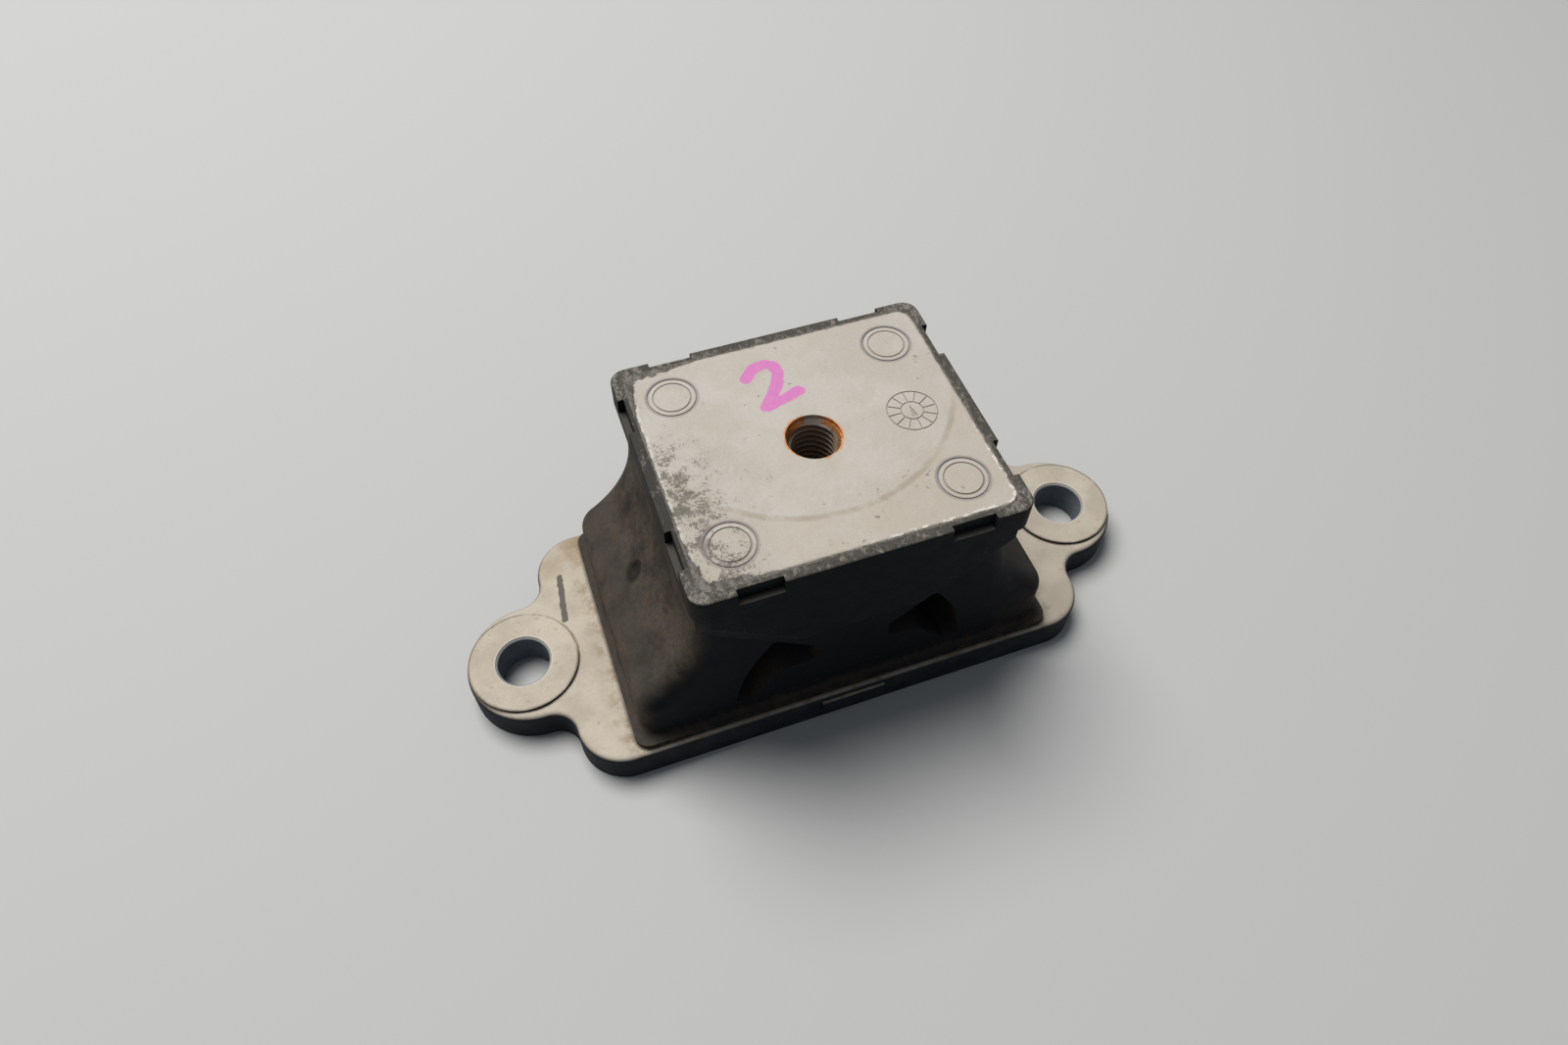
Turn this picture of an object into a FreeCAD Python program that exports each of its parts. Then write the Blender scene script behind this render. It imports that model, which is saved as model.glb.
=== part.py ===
import FreeCAD, Part
import math
import os

import Sketcher
from FreeCAD import Vector

# Engine mount: a cast base plate with two bolt ears, a rubber body bonded on it, and a cast wedge
# block sunk in the rubber, with a threaded steel bush in its top face.
# Frame: origin on the thread axis at the underside of the base plate, X along the bolt ears,
# Y through the two slots of the rubber, Z up. Millimetres and degrees.

SIZES = {
    "base plate": [
        ("plate_length", 114.0), ("plate_depth", 58.0), ("plate_thickness", 8.0),
        ("plate_corner_radius", 10.0), ("plate_edge_radius", 1.2),
        ("ear_hole_pitch", 128.0), ("ear_hole_diameter", 11.0), ("ear_hole_chamfer", 0.5),
        ("ear_round_pitch", 124.4), ("ear_radius", 13.8), ("ear_neck_radius", 5.0),
        ("boss_diameter", 23.2), ("boss_height", 0.7),
        ("gate_length", 14.0), ("gate_height", 3.4), ("gate_drop", 1.5), ("gate_proud", 0.6),
    ],
    "rubber foot and legs, heights from the top of the plate": [
        ("foot_length", 92.4), ("foot_depth", 55.8), ("foot_thickness", 1.5),
        ("foot_corner_radius", 3.0), ("foot_blend_radius", 1.8),
        ("leg_span", 89.2), ("leg_depth", 52.0), ("leg_corner_radius", 4.5),
        ("shoulder_radius", 5.0),
        ("waist_width", 63.2), ("waist_height", 35.0), ("waist_radius", 25.0),
        ("dimple_height", 20.0), ("dimple_shift", 2.0), ("dimple_radius", 3.0),
        ("dimple_depth", 0.6),
    ],
    "slots either side of the middle stop": [
        ("web_width", 15.2), ("stop_height", 13.0), ("stop_top_width", 28.0),
        ("stop_foot_width", 43.0), ("slot_floor_height", 4.5), ("slot_span", 49.8),
        ("slot_apex_span", 33.4), ("slot_side_radius", 38.0), ("slot_round_radius", 1.2),
        ("stop_round_radius", 4.0),
    ],
    "rubber round the wedge, heights from the top of the plate": [
        ("mount_height", 49.4), ("flank_angle", 38.0), ("flank_origin_height", 12.0),
        ("face_depth", 57.0), ("face_bevel", 5.0), ("face_tip_height", 28.0),
        ("rim_width", 65.0), ("rim_height", 6.0), ("rim_wall", 2.1), ("rim_corner_radius", 3.2),
        ("rim_edge_radius", 0.5),
        ("notch_length", 8.6), ("notch_height", 3.2), ("notch_depth", 1.3),
        ("notch_pitch_long", 40.0), ("notch_pitch_short", 32.5),
    ],
    "wedge block": [
        ("flank_skin", 3.0), ("core_tip_height", 26.0), ("core_corner_radius", 3.0),
        ("mark_line", 0.25), ("mark_depth", 0.2),
        ("pin_mark_diameter", 9.7), ("pin_mark_land_diameter", 7.5),
        ("pin_mark_pitch_long", 44.6), ("pin_mark_pitch_short", 36.2),
        ("dial_diameter", 10.0), ("dial_hub_diameter", 4.6), ("dial_offset", 20.1),
        ("dial_sectors", 12), ("dial_arrow_length", 3.0), ("dial_arrow_width", 1.2),
        ("mouth_diameter", 10.8),
    ],
    "threaded bush": [
        ("bush_diameter", 15.0), ("bush_length", 20.0), ("bush_recess", 0.8),
        ("bush_groove_width", 1.5), ("bush_groove_depth", 1.0), ("bush_groove_pitch", 6.0),
        ("thread_bore_diameter", 8.5), ("thread_depth", 18.0), ("thread_lead_in_diameter", 10.4),
    ],
}

doc = FreeCAD.newDocument("engine_mount")


def make_sheet():
    """The spreadsheet of driving sizes: one row each, the value in column B under its alias."""
    table = doc.addObject("Spreadsheet::Sheet", "Dims")
    row = 1
    for group, sizes in SIZES.items():
        table.set(f"A{row}", group)
        for alias, value in sizes:
            row += 1
            table.set(f"A{row}", alias)
            table.set(f"B{row}", str(value))
            table.setAlias(f"B{row}", alias)
        row += 2
    doc.recompute()
    return table


sheet = make_sheet()


def size(expression):
    """The number that an expression over the sheet gives."""
    return float(sheet.evalExpression(expression.replace("Dims.", "")))


# ---------------------------------------------------------------- lines that pieces share

PLATE_TOP = "Dims.plate_thickness"
TOP = "(Dims.plate_thickness + Dims.mount_height)"
FLANK_RISE = "tan(Dims.flank_angle * 1deg)"


def above_plate(height):
    return f"(Dims.plate_thickness + {height})"


def flank_height(half_width, offset="0"):
    """Height of the wedge flank at a half width, moved up square to itself by an offset."""
    return above_plate(f"Dims.flank_origin_height + {FLANK_RISE} * ({half_width})"
                       f" + ({offset}) / cos(Dims.flank_angle * 1deg)")


def flank_half_width(height, offset="0"):
    """Half width of the wedge flank at a height over the origin."""
    return f"(({height} - {flank_height('0', offset)}) / {FLANK_RISE})"


# ---------------------------------------------------------------- sketches

def new_body(label):
    body = doc.addObject("PartDesign::Body", label)
    body.Label = label
    return body


def new_sketch(body, name, role, offset="0"):
    """A sketch on one of the body's own origin planes, moved along the plane's normal."""
    sketch = body.newObject("Sketcher::SketchObject", name)
    plane = next(f for f in body.Origin.OriginFeatures if f.Role == role)
    sketch.AttachmentSupport = (plane, [""])
    sketch.MapMode = "FlatFace"
    sketch.setExpression("AttachmentOffset.Base.z", offset)
    doc.recompute()
    return sketch


def bind(sketch, constraint, expression):
    index = sketch.addConstraint(constraint)
    sketch.setExpression(f"Constraints[{index}]", expression)


def hold_point(sketch, geometry, end, x, y):
    """Hold one point of a sketch at x, y. A coordinate of 0 puts it on the sketch's axis."""
    for kind, axis, expression in (("DistanceX", -2, x), ("DistanceY", -1, y)):
        if expression == "0":
            sketch.addConstraint(Sketcher.Constraint("PointOnObject", geometry, end, axis))
        else:
            bind(sketch, Sketcher.Constraint(kind, -1, 1, geometry, end, size(expression)),
                 expression)


def outline(sketch, corners, arcs=None):
    """A closed outline through corners. arcs gives a curved side by the corner it starts from:
    its radius, and 1 or -1 for a bulge to the left or the right of the way round."""
    arcs = arcs or {}
    points = [Vector(size(x), size(y), 0) for x, y in corners]
    first = sketch.GeometryCount
    for i, start in enumerate(points):
        end = points[(i + 1) % len(points)]
        if i in arcs:
            radius, bulge = size(arcs[i][0]), arcs[i][1]
            chord = end - start
            rise = radius - math.sqrt(radius ** 2 - (chord.Length / 2) ** 2)
            across = Vector(-chord.y, chord.x, 0).normalize()
            middle = start + chord * 0.5 + across * rise * bulge
            sketch.addGeometry(Part.Arc(start, middle, end))
        else:
            sketch.addGeometry(Part.LineSegment(start, end))
    # An arc always runs anticlockwise, so one that bulges to the left starts at its far corner.
    ends = [(2, 1) if arcs.get(i, (None, 0))[1] == 1 else (1, 2) for i in range(len(points))]
    for i, (x, y) in enumerate(corners):
        after = (i + 1) % len(points)
        sketch.addConstraint(Sketcher.Constraint(
            "Coincident", first + i, ends[i][1], first + after, ends[after][0]))
        hold_point(sketch, first + i, ends[i][0], x, y)
    for i, (radius, _) in arcs.items():
        bind(sketch, Sketcher.Constraint("Radius", first + i, size(radius)), radius)


def rectangle(sketch, x, y, length, width):
    """A rectangle round the centre x, y."""
    left, right = (f"({x}) {sign} ({length}) / 2" for sign in "-+")
    low, high = (f"({y}) {sign} ({width}) / 2" for sign in "-+")
    outline(sketch, [(left, low), (right, low), (right, high), (left, high)])


def circle(sketch, x, y, diameter):
    centre = Vector(size(x), size(y), 0)
    index = sketch.addGeometry(Part.Circle(centre, Vector(0, 0, 1), size(diameter) / 2))
    hold_point(sketch, index, 3, x, y)
    bind(sketch, Sketcher.Constraint("Diameter", index, size(diameter)), diameter)


def mirrored(corners):
    """Corners on +X from the top down, completed by their mirror images on -X."""
    return corners + [(f"-({x})", y) for x, y in reversed(corners)]


# ---------------------------------------------------------------- features

def extrude(body, kind, sketch, name, length, both_ways=False, reverse=False):
    """A PartDesign Pad or Pocket of a given length."""
    feature = body.newObject(f"PartDesign::{kind}", name)
    feature.Profile = sketch
    feature.SideType = "Symmetric" if both_ways else "One side"
    feature.Reversed = reverse
    feature.setExpression("Length", length)
    doc.recompute()
    return feature


def dress(body, kind, base, name, edges, expression, limit=None):
    """A PartDesign Fillet or Chamfer on edges of the base feature."""
    feature = body.newObject(f"PartDesign::{kind}", name)
    feature.Base = (base, edges)
    wanted = f"min({expression}; {limit})" if limit else expression
    feature.setExpression("Radius" if kind == "Fillet" else "Size", wanted)
    doc.recompute()
    return feature


def edges_where(feature, test):
    """Names of the edges that pass a test on their end points and middle."""
    names = []
    for i, edge in enumerate(feature.Shape.Edges, 1):
        middle = edge.valueAt((edge.FirstParameter + edge.LastParameter) / 2)
        ends = [vertex.Point for vertex in edge.Vertexes]
        if test(ends + [middle]):
            names.append(f"Edge{i}")
    return names


def near(a, b):
    return abs(a - b) < 0.01


def vertical_at(feature, x, y, low=-math.inf):
    """Vertical edges at plus or minus x and y that start no lower than low."""
    x, y = size(x), size(y)
    return edges_where(feature, lambda points: all(
        near(abs(p.x), x) and near(abs(p.y), y) and p.z > low - 0.01 for p in points))


def crosswise_at(feature, x, z):
    """Edges along Y at plus or minus x and at height z."""
    x, z = size(x), size(z)
    return edges_where(feature, lambda points: all(
        near(abs(p.x), x) and near(p.z, z) for p in points) and points[0] != points[-2])


# ---------------------------------------------------------------- base plate

def make_base_plate():
    """A flat casting: a rounded plate, two ears with bosses and bolt holes, and the gate's land."""
    body = new_body("base_plate")
    outer = new_sketch(body, "PlateOutline", "XY_Plane")
    rectangle(outer, "0", "0", "Dims.plate_length", "Dims.plate_depth")
    plate = extrude(body, "Pad", outer, "Plate", "Dims.plate_thickness")

    for side in ("", "-"):
        ear = new_sketch(body, "EarOutline", "XY_Plane")
        circle(ear, f"{side}Dims.ear_round_pitch / 2", "0", "2 * Dims.ear_radius")
        plate = extrude(body, "Pad", ear, "Ear", "Dims.plate_thickness")

    half_length, half_depth = size("Dims.plate_length / 2"), size("Dims.plate_depth / 2")
    necks = edges_where(plate, lambda points: all(
        near(abs(p.x), half_length) and abs(p.y) < half_depth - 0.01 for p in points)
        and near(points[0].y, points[-1].y))
    plate = dress(body, "Fillet", plate, "Necks", necks, "Dims.ear_neck_radius")
    corners = vertical_at(plate, "Dims.plate_length / 2", "Dims.plate_depth / 2")
    plate = dress(body, "Fillet", plate, "Corners", corners, "Dims.plate_corner_radius")
    thickness = size("Dims.plate_thickness")
    brim = edges_where(plate, lambda points: all(near(p.z, thickness) for p in points))
    plate = dress(body, "Fillet", plate, "TopEdge", brim, "Dims.plate_edge_radius")

    for side in ("", "-"):
        ring = new_sketch(body, "BossOutline", "XY_Plane", "Dims.plate_thickness / 2")
        circle(ring, f"{side}Dims.ear_hole_pitch / 2", "0", "Dims.boss_diameter")
        plate = extrude(body, "Pad", ring, "Boss", "Dims.plate_thickness / 2 + Dims.boss_height")

    land = new_sketch(body, "GateOutline", "XZ_Plane", "Dims.plate_depth / 2")
    rectangle(land, "0", "Dims.plate_thickness - Dims.gate_drop - Dims.gate_height / 2",
              "Dims.gate_length", "Dims.gate_height")
    extrude(body, "Pad", land, "GateLand", "Dims.gate_proud")

    holes = new_sketch(body, "BoltHoles", "XY_Plane")
    for side in ("", "-"):
        circle(holes, f"{side}Dims.ear_hole_pitch / 2", "0", "Dims.ear_hole_diameter")
    plate = extrude(body, "Pocket", holes, "BoltBores",
                    "Dims.plate_thickness + Dims.boss_height", reverse=True)
    pitch, radius = size("Dims.ear_hole_pitch / 2"), size("Dims.ear_hole_diameter / 2")
    mouths = edges_where(plate, lambda points: all(
        near(math.hypot(abs(p.x) - pitch, p.y), radius) and near(p.z, points[0].z)
        for p in points))
    dress(body, "Chamfer", plate, "BoreMouths", mouths, "Dims.ear_hole_chamfer")
    return body


# ---------------------------------------------------------------- wedge block and bush

def make_wedge_form():
    """The outer form of the block: flat top and sides, two flanks that meet in a blunt tip."""
    body = new_body("wedge_form")
    profile = new_sketch(body, "WedgeProfile", "XZ_Plane")
    half_width = "(Dims.rim_width / 2 - Dims.rim_wall)"
    tip = above_plate("Dims.core_tip_height")
    outline(profile, mirrored([
        (half_width, TOP),
        (half_width, flank_height(half_width, "Dims.flank_skin")),
        (flank_half_width(tip, "Dims.flank_skin"), tip)]))
    wedge = extrude(body, "Pad", profile, "Wedge", "Dims.face_depth - 2 * Dims.rim_wall",
                    both_ways=True)
    corners = vertical_at(wedge, half_width, "Dims.face_depth / 2 - Dims.rim_wall")
    dress(body, "Fillet", wedge, "WedgeCorners", corners, "Dims.core_corner_radius")
    return body


def make_core_casting(form):
    """The block as cast: the wedge form with the bush's mouth, the pin marks and the dial."""
    body = new_body("core_casting")
    body.BaseFeature = form
    doc.recompute()

    mouth = new_sketch(body, "MouthOutline", "XY_Plane", TOP)
    circle(mouth, "0", "0", "Dims.mouth_diameter")
    extrude(body, "Pocket", mouth, "Mouth", "Dims.bush_recess")

    rings = new_sketch(body, "PinMarkRings", "XY_Plane", TOP)
    for side_x in ("", "-"):
        for side_y in ("", "-"):
            x = f"{side_x}Dims.pin_mark_pitch_long / 2"
            y = f"{side_y}Dims.pin_mark_pitch_short / 2"
            for diameter in ("Dims.pin_mark_diameter", "Dims.pin_mark_land_diameter"):
                circle(rings, x, y, diameter)
                circle(rings, x, y, f"{diameter} - 2 * Dims.mark_line")
    extrude(body, "Pocket", rings, "PinMarks", "Dims.mark_depth")

    dial = new_sketch(body, "DialRings", "XY_Plane", TOP)
    for diameter in ("Dims.dial_diameter", "Dims.dial_hub_diameter"):
        circle(dial, "Dims.dial_offset", "0", diameter)
        circle(dial, "Dims.dial_offset", "0", f"{diameter} - 2 * Dims.mark_line")
    extrude(body, "Pocket", dial, "Dial", "Dims.mark_depth")

    lines = new_sketch(body, "DialLines", "XY_Plane", TOP)
    count = int(size("Dims.dial_sectors"))
    # Each line ends halfway into the rings' own grooves.
    inner, outer = (f"({ring} / 2 - Dims.mark_line / 2)"
                    for ring in ("Dims.dial_hub_diameter", "Dims.dial_diameter"))
    for i in range(count):
        turn = f"{i} * 360deg / Dims.dial_sectors"
        corners = []
        for reach, across in ((inner, "-"), (outer, "-"), (outer, ""), (inner, "")):
            half_line = f"{across}Dims.mark_line / 2"
            corners.append((
                f"Dims.dial_offset + {reach} * cos({turn}) - ({half_line}) * sin({turn})",
                f"{reach} * sin({turn}) + ({half_line}) * cos({turn})"))
        outline(lines, corners)
    extrude(body, "Pocket", lines, "DialSectors", "Dims.mark_depth")

    arrow = new_sketch(body, "DialArrow", "XY_Plane", TOP)
    outline(arrow, [
        ("Dims.dial_offset - Dims.dial_arrow_width / 2", "-Dims.dial_arrow_length / 2"),
        ("Dims.dial_offset + Dims.dial_arrow_width / 2", "-Dims.dial_arrow_length / 2"),
        ("Dims.dial_offset", "Dims.dial_arrow_length / 2")])
    extrude(body, "Pocket", arrow, "Arrow", "Dims.mark_depth")
    return body


def make_bush_form():
    """The outer form of the bush: a round bar with two grooves that key it into the casting."""
    body = new_body("bush_form")
    profile = new_sketch(body, "BushProfile", "XZ_Plane")
    face = f"({TOP} - Dims.bush_recess)"
    foot = f"({face} - Dims.bush_length)"
    rim, waist = "Dims.bush_diameter / 2", "(Dims.bush_diameter / 2 - Dims.bush_groove_depth)"
    corners = [("0", foot), (rim, foot)]
    for sign in "-+":
        middle = f"({foot} + Dims.bush_length / 2 {sign} Dims.bush_groove_pitch / 2)"
        low, high = (f"{middle} {way} Dims.bush_groove_width / 2" for way in "-+")
        corners += [(rim, low), (waist, low), (waist, high), (rim, high)]
    outline(profile, corners + [(rim, face), ("0", face)])
    turned = body.newObject("PartDesign::Revolution", "Bush")
    turned.Profile = profile
    turned.ReferenceAxis = (profile, ["V_Axis"])
    turned.Angle = 360
    doc.recompute()
    return body


def make_threaded_insert(form):
    """The bush with its blind thread bore and a countersunk lead-in."""
    body = new_body("threaded_insert")
    body.BaseFeature = form
    doc.recompute()
    bore = new_sketch(body, "BoreOutline", "XY_Plane", f"{TOP} - Dims.bush_recess")
    circle(bore, "0", "0", "Dims.thread_bore_diameter")
    bush = extrude(body, "Pocket", bore, "ThreadBore", "Dims.thread_depth")
    face = size(f"{TOP} - Dims.bush_recess")
    radius = size("Dims.thread_bore_diameter / 2")
    mouth = edges_where(bush, lambda points: all(
        near(p.z, face) and near(math.hypot(p.x, p.y), radius) for p in points))
    dress(body, "Chamfer", bush, "LeadIn", mouth,
          "(Dims.thread_lead_in_diameter - Dims.thread_bore_diameter) / 2")
    return body


# ---------------------------------------------------------------- rubber

def make_legs(body):
    """Two splayed legs with a waist under the rim, one block until the slots are cut."""
    profile = new_sketch(body, "LegProfile", "XZ_Plane")
    waist, foot = "Dims.waist_width / 2", "Dims.leg_span / 2"
    waist_level = above_plate("Dims.waist_height")
    # The waist's arc is tangent to the upright side above it, so its centre lies level with that
    # tangent point, and it meets the leg's outer side here:
    shoulder = (f"({waist_level} - sqrt(Dims.waist_radius ^ 2"
                f" - ({waist} + Dims.waist_radius - {foot}) ^ 2))")
    right = [(waist, f"{TOP} - Dims.rim_height"), (waist, waist_level), (foot, shoulder),
             (foot, PLATE_TOP)]
    curve = ("Dims.waist_radius", -1)
    outline(profile, mirrored(right), arcs={1: curve, 5: curve})
    legs = extrude(body, "Pad", profile, "Legs", "Dims.leg_depth", both_ways=True)
    shoulders = crosswise_at(legs, foot, shoulder)
    legs = dress(body, "Fillet", legs, "Shoulders", shoulders, "Dims.shoulder_radius")
    face = size("Dims.leg_depth / 2")
    narrow = size(waist) - 0.01
    sides = edges_where(legs, lambda points: all(
        near(abs(p.y), face) and abs(p.x) > narrow for p in points)
        and not near(points[0].z, points[-2].z))
    return dress(body, "Fillet", legs, "LegCorners", sides, "Dims.leg_corner_radius",
                 "Dims.shoulder_radius - 0.1")


def make_foot(body):
    """The thin flange of rubber that spreads over the plate, blended into the legs."""
    spread = new_sketch(body, "FootOutline", "XY_Plane", PLATE_TOP)
    rectangle(spread, "0", "0", "Dims.foot_length", "Dims.foot_depth")
    foot = extrude(body, "Pad", spread, "Foot", "Dims.foot_thickness")
    corners = vertical_at(foot, "Dims.foot_length / 2", "Dims.foot_depth / 2")
    foot = dress(body, "Fillet", foot, "FootCorners", corners, "Dims.foot_corner_radius")
    level = size(above_plate("Dims.foot_thickness"))
    reach_x, reach_y = size("Dims.leg_span / 2") + 0.01, size("Dims.leg_depth / 2") + 0.01
    creases = edges_where(foot, lambda points: all(
        near(p.z, level) and abs(p.x) < reach_x and abs(p.y) < reach_y for p in points))
    return dress(body, "Fillet", foot, "FootBlend", creases, "Dims.foot_blend_radius",
                 "(Dims.foot_depth - Dims.leg_depth) / 2 - 0.05")


def wedge_section(body, name, offset, half_width, rise, tip):
    """A section of the rubber round the wedge, square to Y."""
    section = new_sketch(body, name, "XZ_Plane", offset)
    outline(section, mirrored([
        (half_width, f"{TOP} - Dims.rim_height / 2"),
        (half_width, flank_height(half_width, rise)),
        (flank_half_width(tip, rise), tip)]))
    return section


def make_wedge_cover(body):
    """The wedge's rubber stands proud of the legs at both ends, with a bevel down to them."""
    low_tip = above_plate("Dims.face_tip_height - Dims.face_bevel")
    high_tip = above_plate("Dims.face_tip_height")
    waist = "Dims.waist_width / 2"
    face = "(Dims.rim_width / 2 - Dims.rim_corner_radius)"
    middle = wedge_section(body, "WedgeMiddle", "0", waist, "0", low_tip)
    cover = extrude(body, "Pad", middle, "WedgeCover", "Dims.leg_depth", both_ways=True)
    for side in ("", "-"):
        inner = wedge_section(body, "WedgeRoot", f"{side}Dims.leg_depth / 2", waist, "0", low_tip)
        outer = wedge_section(body, "WedgeFace", f"{side}Dims.face_depth / 2", face,
                              "Dims.face_bevel", high_tip)
        cover = body.newObject("PartDesign::AdditiveLoft", "WedgeBevel")
        cover.Profile = inner
        cover.Sections = [outer]
        cover.Ruled = True
        doc.recompute()
    return cover


def make_rim(body):
    """The rubber rim round the block's top, with the mould's locating notches in its sides."""
    rim_foot = f"{TOP} - Dims.rim_height"
    edge = new_sketch(body, "RimOutline", "XY_Plane", rim_foot)
    rectangle(edge, "0", "0", "Dims.rim_width", "Dims.face_depth")
    rim = extrude(body, "Pad", edge, "Rim", "Dims.rim_height")
    corners = vertical_at(rim, "Dims.rim_width / 2", "Dims.face_depth / 2", size(rim_foot))
    rim = dress(body, "Fillet", rim, "RimCorners", corners, "Dims.rim_corner_radius")
    top = size(TOP)
    brim = edges_where(rim, lambda points: all(near(p.z, top) for p in points))
    dress(body, "Fillet", rim, "RimEdge", brim, "Dims.rim_edge_radius")

    notches = new_sketch(body, "Notches", "XY_Plane", TOP)
    for side in ("", "-"):
        for way in ("", "-"):
            # Each rectangle reaches as far outside the rim as into it.
            rectangle(notches, f"{way}Dims.notch_pitch_long / 2", f"{side}Dims.face_depth / 2",
                      "Dims.notch_length", "2 * Dims.notch_depth")
            rectangle(notches, f"{side}Dims.rim_width / 2", f"{way}Dims.notch_pitch_short / 2",
                      "2 * Dims.notch_depth", "Dims.notch_length")
    return extrude(body, "Pocket", notches, "RimNotches", "Dims.notch_height")


def make_slots(body):
    """Two slots along Y, under the wedge's flanks, which free the legs from the middle stop."""
    web, apex = "Dims.web_width / 2", "Dims.slot_apex_span / 2"
    floor, stop = above_plate("Dims.slot_floor_height"), above_plate("Dims.stop_height")
    corners = [(apex, flank_height(apex)), ("Dims.slot_span / 2", floor),
               ("Dims.stop_foot_width / 2", floor), ("Dims.stop_top_width / 2", stop),
               (web, stop), (web, flank_height(web))]
    profile = new_sketch(body, "SlotProfile", "XZ_Plane")
    outline(profile, corners, arcs={0: ("Dims.slot_side_radius", 1)})
    outline(profile, [(f"-({x})", z) for x, z in corners], arcs={0: ("Dims.slot_side_radius", -1)})
    slots = extrude(body, "Pocket", profile, "Slots", "Dims.face_depth", both_ways=True)
    tight = [name for i in (0, 1, 2, 4, 5) for name in crosswise_at(slots, *corners[i])]
    slots = dress(body, "Fillet", slots, "SlotRounds", tight, "Dims.slot_round_radius")
    crowns = crosswise_at(slots, *corners[3])
    return dress(body, "Fillet", slots, "StopRounds", crowns, "Dims.stop_round_radius")


def make_dimple(body):
    """A shallow round dimple in the outer face of one leg, where the mould was fed."""
    level = "Dims.dimple_height"
    waist_centre = "(Dims.waist_width / 2 + Dims.waist_radius)"
    # The ball's centre lies on the line from the waist arc's centre, outside the leg by its
    # radius less the dimple's depth.
    away = "(Dims.waist_radius - Dims.dimple_radius + Dims.dimple_depth)"
    fall = f"(Dims.waist_height - {level})"
    ball = body.newObject("PartDesign::SubtractiveSphere", "Dimple")
    ball.setExpression("Radius", "Dims.dimple_radius")
    ball.setExpression("Placement.Base.x", f"-{waist_centre} + {away}"
                       f" * sqrt(1 - ({fall} / Dims.waist_radius) ^ 2)")
    ball.setExpression("Placement.Base.y", "Dims.dimple_shift")
    ball.setExpression("Placement.Base.z", above_plate(
        f"Dims.waist_height - {away} * {fall} / Dims.waist_radius"))
    doc.recompute()
    return ball


def make_rubber_moulding():
    body = new_body("rubber_moulding")
    make_legs(body)
    make_foot(body)
    make_wedge_cover(body)
    make_rim(body)
    make_slots(body)
    make_dimple(body)
    return body


# ---------------------------------------------------------------- the mount

def cut(label, base, tool):
    """The base with the tool's form taken out, as moulding or casting round it leaves it."""
    result = doc.addObject("Part::Cut", label)
    result.Label = label
    result.Base = base
    result.Tool = tool
    doc.recompute()
    return result


def check_document():
    """Stop if a feature failed: a recompute can leave one broken without raising."""
    for item in doc.Objects:
        if "Invalid" in item.State or "Error" in item.State:
            raise RuntimeError(f"{item.Label} did not build")


def export(parts):
    os.makedirs("parts", exist_ok=True)
    for part in parts:
        if part.Shape.isNull() or not part.Shape.isValid() or len(part.Shape.Solids) != 1:
            raise RuntimeError(f"{part.Label} is not one sound solid")
    for part in parts:
        part.Shape.exportStep(f"parts/{part.Label}.step")


wedge_form = make_wedge_form()
bush_form = make_bush_form()
base_plate = make_base_plate()
threaded_insert = make_threaded_insert(bush_form)
top_core = cut("top_core", make_core_casting(wedge_form), bush_form)
rubber_body = cut("rubber_body", make_rubber_moulding(), wedge_form)

check_document()
export([base_plate, rubber_body, top_core, threaded_insert])
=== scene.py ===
import math

import bmesh
import bpy
from mathutils import Matrix, Vector


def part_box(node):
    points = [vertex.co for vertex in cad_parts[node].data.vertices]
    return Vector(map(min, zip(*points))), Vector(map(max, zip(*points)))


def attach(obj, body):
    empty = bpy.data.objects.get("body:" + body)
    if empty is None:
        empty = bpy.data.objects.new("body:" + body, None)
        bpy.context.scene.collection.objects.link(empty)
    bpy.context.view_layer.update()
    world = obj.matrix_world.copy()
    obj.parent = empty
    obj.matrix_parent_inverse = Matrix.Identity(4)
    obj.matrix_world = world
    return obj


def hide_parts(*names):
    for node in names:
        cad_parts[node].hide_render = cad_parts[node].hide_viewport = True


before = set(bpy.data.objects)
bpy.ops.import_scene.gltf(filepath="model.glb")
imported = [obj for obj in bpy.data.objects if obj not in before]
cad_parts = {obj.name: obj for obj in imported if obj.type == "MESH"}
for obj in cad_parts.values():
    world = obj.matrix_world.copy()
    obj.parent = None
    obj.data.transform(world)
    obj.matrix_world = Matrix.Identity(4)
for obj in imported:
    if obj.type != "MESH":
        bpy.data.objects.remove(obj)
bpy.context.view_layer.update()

# An engine mount: a cast plate with two bolt ears, a rubber body bonded on it, and a cast wedge
# block sunk in the rubber, with a threaded steel bush in its top face.
# Metres, in the frame's own axes. Sizes in millimetres are written as a number times MM.
MM = 0.001
FULL_TURN = 2 * math.pi

BLOCK_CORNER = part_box("top_core")[1]
BUSH_FOOT, BUSH_FACE = (corner.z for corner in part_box("threaded_insert"))
TOP = BLOCK_CORNER.z
PLATE_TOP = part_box("rubber_body")[0].z
EAR_PITCH = 128 * MM
BOSS_RADIUS = 11.6 * MM
EAR_HOLE_RADIUS = 5.5 * MM
FOOT_HALF_LENGTH, FOOT_HALF_DEPTH = 46.2 * MM, 27.9 * MM
PIN_MARK_X, PIN_MARK_Y = 22.3 * MM, 18.1 * MM
PIN_MARK_OUTER, PIN_MARK_INNER = 4.85 * MM, 3.75 * MM
DIMPLE = (-37.4 * MM, 2.2 * MM, PLATE_TOP + 18.8 * MM)
# The lower edges of the rubber's wedge face climb from a tip at the middle to both sides.
WEDGE_TIP, WEDGE_SLOPE = 27.5 * MM, 0.781
THREAD_CREST, THREAD_ROOT, LEAD_IN = 4.25 * MM, 5.0 * MM, 5.2 * MM
THREAD_PITCH = 1.5 * MM


# ---------------------------------------------------------------- a finish and its nodes

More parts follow.
